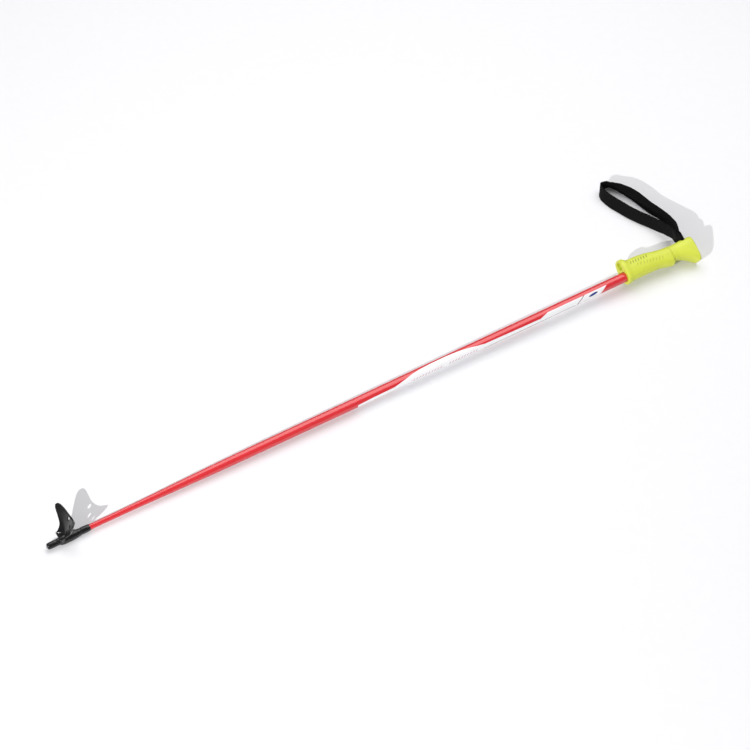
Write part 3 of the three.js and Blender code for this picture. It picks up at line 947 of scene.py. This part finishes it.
# the part inside the head, [x from the slot's middle, z], from the mouth down round the pin and up again
FOLD_ROUTE = [[-1.3, 17.6], [-1.7, 13], [-2.6, 8.5], [-3.35, 3], [-2.4, 0.1], [0, -0.85], [2.4, 0.1],
              [3.35, 3], [2.6, 8.5], [1.7, 13], [1.3, 17.6]]


def leaning(degrees):
    lean = math.radians(degrees)
    return Vector((0, 0, math.cos(lean))) + LEAN_SIDE * math.sin(lean)


def strap_route():
    """Control points of the whole closed strap, each with its direction across the webbing."""
    under_tip = TIP - Vector((0, 0, TIP_HEIGHT * MM))
    fold = [(world(SLOT_X + dx, 0, z), -ACROSS) for dx, z in FOLD_ROUTE]
    loop = [(under_tip + Vector((x, y, z)) * MM, leaning(lean)) for x, y, z, lean in LOOP_ROUTE]
    return fold + loop


def strap_frames():
    """Centre, outward and across directions at even steps along the whole strap, and its length."""
    control = strap_route()
    points, length, places = smooth_curve([p for p, _ in control], STRAP_STATIONS, closed=True)
    frames = []
    for i, p in enumerate(points):
        tangent = (points[(i + 1) % len(points)] - points[i - 1]).normalized()
        row = int(places[i]) % len(control)
        t = places[i] - int(places[i])
        across = control[row][1].lerp(control[(row + 1) % len(control)][1], t * t * (3 - 2 * t))
        out = tangent.cross(across).normalized()
        across = out.cross(tangent).normalized()
        frames.append((p, out, across))
    return frames, length


def webbing_section():
    """Flat webbing with full selvedges: (across, out) pairs in millimetres, anticlockwise."""
    half_w, half_t = WEBBING_WIDTH / 2, WEBBING_THICKNESS / 2
    flat = half_w - SELVEDGE
    face = [-flat + 2 * flat * k / WEBBING_COLUMNS for k in range(WEBBING_COLUMNS + 1)]
    bulge = [(flat + SELVEDGE * math.sin(t), half_t * math.cos(t)) for t in SELVEDGE_TURNS]
    section = [(a, half_t * (1 if abs(a) < half_w - EDGE_BAND else EDGE_THINNING)) for a in face]
    section += bulge
    section += [(a, -half_t * (1 if abs(a) < half_w - EDGE_BAND else EDGE_THINNING)) for a in reversed(face)]
    section += [(-a, -t) for a, t in bulge]
    return section


def make_strap():
    frames, length = strap_frames()
    section = webbing_section()
    wander = random.Random(7)
    phases = [wander.uniform(0, 2 * math.pi) for _ in range(2)]
    rings = []
    web = []
    for i, (p, out, across) in enumerate(frames):
        s = length * i / len(frames) / MM
        ring = []
        for a, t in section:
            edge = a / (WEBBING_WIDTH / 2)
            ripple = 0.12 * edge * math.sin(s / 9 + phases[0])
            ripple += 0.07 * math.sin(s / 4.3 + phases[1] + 2 * edge)
            ring.append(p + across * a * MM + out * (t + ripple) * MM)
            web.append((s, a, 1 if t > 0 else -1))
        rings.append(ring)
    strap = loft("wrist_strap_webbing", rings, closed=True, smooth_angle=80)
    store_vector(strap, "web", web)
    store_pole_place(strap)
    paint(strap, WEBBING)
    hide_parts("wrist_strap", "strap_fold")
    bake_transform(strap)


# ---- kept CAD nodes: hidden inside, with the proper materials ----


def dress_hidden_nodes():
    for node, material in (("shaft_end_plug", BLACK), ("strap_pin", STEEL)):
        piece = frame["nodes"][node]
        store_pole_place(piece)
        for slot in piece.material_slots:
            slot.material = material


# ---- floor and light, in metres and watts ----
FLOOR_REACH = 8


def make_floor():
    corners = [(a * FLOOR_REACH, b * FLOOR_REACH, FLOOR_Z) for a, b in ((-1, -1), (1, -1), (1, 1), (-1, 1))]
    floor = mesh_object("floor", corners, [(0, 1, 2, 3)])
    floor.data.materials.append(floor_material())


def add_light(name, kind, power):
    light = bpy.data.lights.new(name, kind)
    light.energy = power
    holder = bpy.data.objects.new(name, light)
    bpy.context.collection.objects.link(holder)
    return holder


def area_light(name, place, aim, size, power):
    holder = add_light(name, "AREA", power)
    holder.data.shape = "RECTANGLE"
    holder.data.size, holder.data.size_y = size
    holder.location = place
    holder.rotation_euler = (Vector(aim) - Vector(place)).to_track_quat("-Z", "Y").to_euler()


# the lamp stands to the near left of the basket, so that shadows spread out along the pole
LAMP_FROM_TIP = Vector((-2.401, -1.685, 2.0))
LAMP_POWER = 500
LAMP_RADIUS = 0.02
SOFTBOX_HEIGHT = 2.2
SOFTBOX_SIZE = (3.4, 2.2)
SOFTBOX_POWER = 58
FILL_HEIGHT = 1.6
FILL_SIZE = (2.4, 1.6)
FILL_POWER = 5
WORLD_COLOR = (0.97, 0.97, 1.0, 1)
WORLD_STRENGTH = 0.2


def make_lights():
    right = Vector((math.cos(CAMERA_AZIMUTH), -math.sin(CAMERA_AZIMUTH), 0))
    ahead = Vector((math.sin(CAMERA_AZIMUTH), math.cos(CAMERA_AZIMUTH), 0))
    lamp = add_light("side_lamp", "POINT", LAMP_POWER)
    lamp.data.shadow_soft_size = LAMP_RADIUS
    lamp.location = Vector((TIP.x, TIP.y, FLOOR_Z)) + LAMP_FROM_TIP
    middle = Vector((0, 0, 0))
    softbox_place = ahead * 0.9 + right * 0.3 + Vector((0, 0, SOFTBOX_HEIGHT))
    area_light("overhead_softbox", softbox_place, middle, SOFTBOX_SIZE, SOFTBOX_POWER)
    fill_place = -ahead * 2.2 - right * 0.6 + Vector((0, 0, FILL_HEIGHT))
    area_light("near_fill", fill_place, middle, FILL_SIZE, FILL_POWER)


def make_world():
    scene_world = bpy.data.worlds.new("studio")
    bpy.context.scene.world = scene_world
    scene_world.use_nodes = True
    background = scene_world.node_tree.nodes["Background"]
    background.inputs[0].default_value = WORLD_COLOR
    background.inputs[1].default_value = WORLD_STRENGTH
    bpy.context.scene.view_settings.view_transform = "Standard"


make_shaft()
make_tip()
make_basket()
make_grip()
make_wedge()
make_strap()
dress_hidden_nodes()
make_floor()
make_lights()
make_world()
